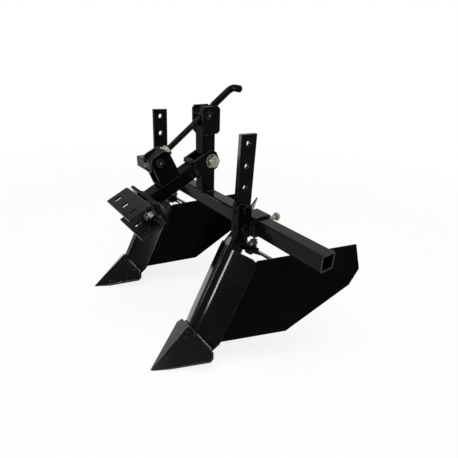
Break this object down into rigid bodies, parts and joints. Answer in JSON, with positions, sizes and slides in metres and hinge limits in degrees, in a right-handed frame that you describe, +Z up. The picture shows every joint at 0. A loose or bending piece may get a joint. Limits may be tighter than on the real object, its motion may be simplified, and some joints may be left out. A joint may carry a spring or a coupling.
{
  "type": "two-row ridger for a walking tractor",
  "caption": "Two-row ridging implement: cross beam with sliding clamps, V-nosed ridger bodies with hinged wings, and a hitch arm tilted by a hand crank screw.",
  "frame": {"origin": "on the ground under the middle of the part's box, level with the share tips", "axes": "+X along the cross beam to the left-hand side of travel, -Y the way it travels, +Z up"},
  "size_m": [0.886, 0.4648, 0.6095],
  "materials": {
    "paint": "gloss",
    "zinc": "zinc plated",
    "steel": "bare turned"
  },
  "bodies": {
    "frame": {"cross_beam": "paint", "centre_post": "paint", "post_cheek_left": "paint", "post_cheek_right": "paint", "pivot_bolt": "zinc", "pivot_nut": "zinc", "pivot_washers": "zinc"},
    "arm": {"arm_fork": "paint", "arm_tube": "paint", "arm_yoke": "paint", "end_plate": "paint", "hitch_channel": "paint", "hitch_bolts": "zinc", "hitch_nuts": "zinc", "hitch_spacers": "zinc"},
    "swivel": {"swivel_block": "paint"},
    "crank": {"crank_screw": "paint", "lock_nuts": "zinc"},
    "screw_nut": {"trunnion_nut": "paint"},
    "left_row": {"left_sleeve": "paint", "left_grips": "paint", "left_set_screw": "zinc", "left_shank": "paint", "left_shank_bolts": "paint", "left_shank_nuts": "paint", "left_nose": "paint", "left_share": "paint", "left_hinge_pins": "steel", "left_bracket": "paint", "left_stud": "zinc", "left_stud_nut": "zinc"},
    "left_outer_wing": {"left_outer_wing": "paint", "left_outer_pin": "zinc"},
    "left_outer_strap": {"left_outer_strap": "paint"},
    "left_inner_wing": {"left_inner_wing": "paint", "left_inner_pin": "zinc"},
    "left_inner_strap": {"left_inner_strap": "paint"},
    "right_row": {"right_sleeve": "paint", "right_grips": "paint", "right_set_screw": "zinc", "right_shank": "paint", "right_shank_bolts": "paint", "right_shank_nuts": "paint", "right_nose": "paint", "right_share": "paint", "right_hinge_pins": "steel", "right_bracket": "paint", "right_stud": "zinc", "right_stud_nut": "zinc"},
    "right_outer_wing": {"right_outer_wing": "paint", "right_outer_pin": "zinc"},
    "right_outer_strap": {"right_outer_strap": "paint"},
    "right_inner_wing": {"right_inner_wing": "paint", "right_inner_pin": "zinc"},
    "right_inner_strap": {"right_inner_strap": "paint"}
  },
  "joints": [
    {"name": "crank_turn", "type": "hinge", "parent": "swivel", "child": "crank", "pos_m": [0, -0.07989, 0.43283], "axis": [0, -0.8102, -0.5862], "range_deg": [-1629, 622]},
    {"name": "arm_pitch", "type": "hinge", "parent": "frame", "child": "arm", "pos_m": [0, 0.07166, 0.41869], "axis": [1, 0, 0], "range_deg": [-10.3, 4]},
    {"name": "swivel_turn", "type": "hinge", "parent": "arm", "child": "swivel", "pos_m": [0, -0.07989, 0.43283], "axis": [1, 0, 0], "range_deg": [-2, 4]},
    {"name": "nut_turn", "type": "hinge", "parent": "frame", "child": "screw_nut", "pos_m": [0, 0.06366, 0.5367], "axis": [1, 0, 0], "range_deg": [-7, 3]},
    {"name": "left_row_slide", "type": "slide", "parent": "frame", "child": "left_row", "axis": [1, 0, 0], "range_m": [0, 0.18]},
    {"name": "left_outer_fold", "type": "hinge", "parent": "left_row", "child": "left_outer_wing", "pos_m": [0.2728, -0.02194, 0.15752], "axis": [0, 0.4756, 0.8796], "range_deg": [0, 20]},
    {"name": "left_outer_strap_turn", "type": "hinge", "parent": "left_outer_wing", "child": "left_outer_strap", "pos_m": [0.30525, 0.076, 0.23188], "axis": [0, 0.4756, 0.8796], "range_deg": [-12, 1]},
    {"name": "left_inner_fold", "type": "hinge", "parent": "left_row", "child": "left_inner_wing", "pos_m": [0.1712, -0.02194, 0.15752], "axis": [0, -0.4756, -0.8796], "range_deg": [0, 20]},
    {"name": "left_inner_strap_turn", "type": "hinge", "parent": "left_inner_wing", "child": "left_inner_strap", "pos_m": [0.14146, 0.07744, 0.23111], "axis": [0, -0.4756, -0.8796], "range_deg": [-12, 1]},
    {"name": "right_row_slide", "type": "slide", "parent": "frame", "child": "right_row", "axis": [-1, 0, 0], "range_m": [0, 0.18]},
    {"name": "right_outer_fold", "type": "hinge", "parent": "right_row", "child": "right_outer_wing", "pos_m": [-0.2388, -0.02194, 0.15752], "axis": [0, -0.4756, -0.8796], "range_deg": [0, 20]},
    {"name": "right_outer_strap_turn", "type": "hinge", "parent": "right_outer_wing", "child": "right_outer_strap", "pos_m": [-0.27125, 0.076, 0.23188], "axis": [0, -0.4756, -0.8796], "range_deg": [-12, 1]},
    {"name": "right_inner_fold", "type": "hinge", "parent": "right_row", "child": "right_inner_wing", "pos_m": [-0.1372, -0.02194, 0.15752], "axis": [0, 0.4756, 0.8796], "range_deg": [0, 20]},
    {"name": "right_inner_strap_turn", "type": "hinge", "parent": "right_inner_wing", "child": "right_inner_strap", "pos_m": [-0.10746, 0.07744, 0.23111], "axis": [0, 0.4756, 0.8796], "range_deg": [-12, 1]}
  ],
  "couplings": [
    {"joint": "arm_pitch", "follows": "crank_turn", "ratio": 0.0062024},
    {"joint": "swivel_turn", "follows": "crank_turn", "ratio": -0.0021255},
    {"joint": "nut_turn", "follows": "crank_turn", "ratio": 0.0040769},
    {"joint": "left_outer_strap_turn", "follows": "left_outer_fold", "ratio": -0.49993},
    {"joint": "left_inner_strap_turn", "follows": "left_inner_fold", "ratio": -0.49992},
    {"joint": "right_outer_strap_turn", "follows": "right_outer_fold", "ratio": -0.49993},
    {"joint": "right_inner_strap_turn", "follows": "right_inner_fold", "ratio": -0.49992}
  ]
}
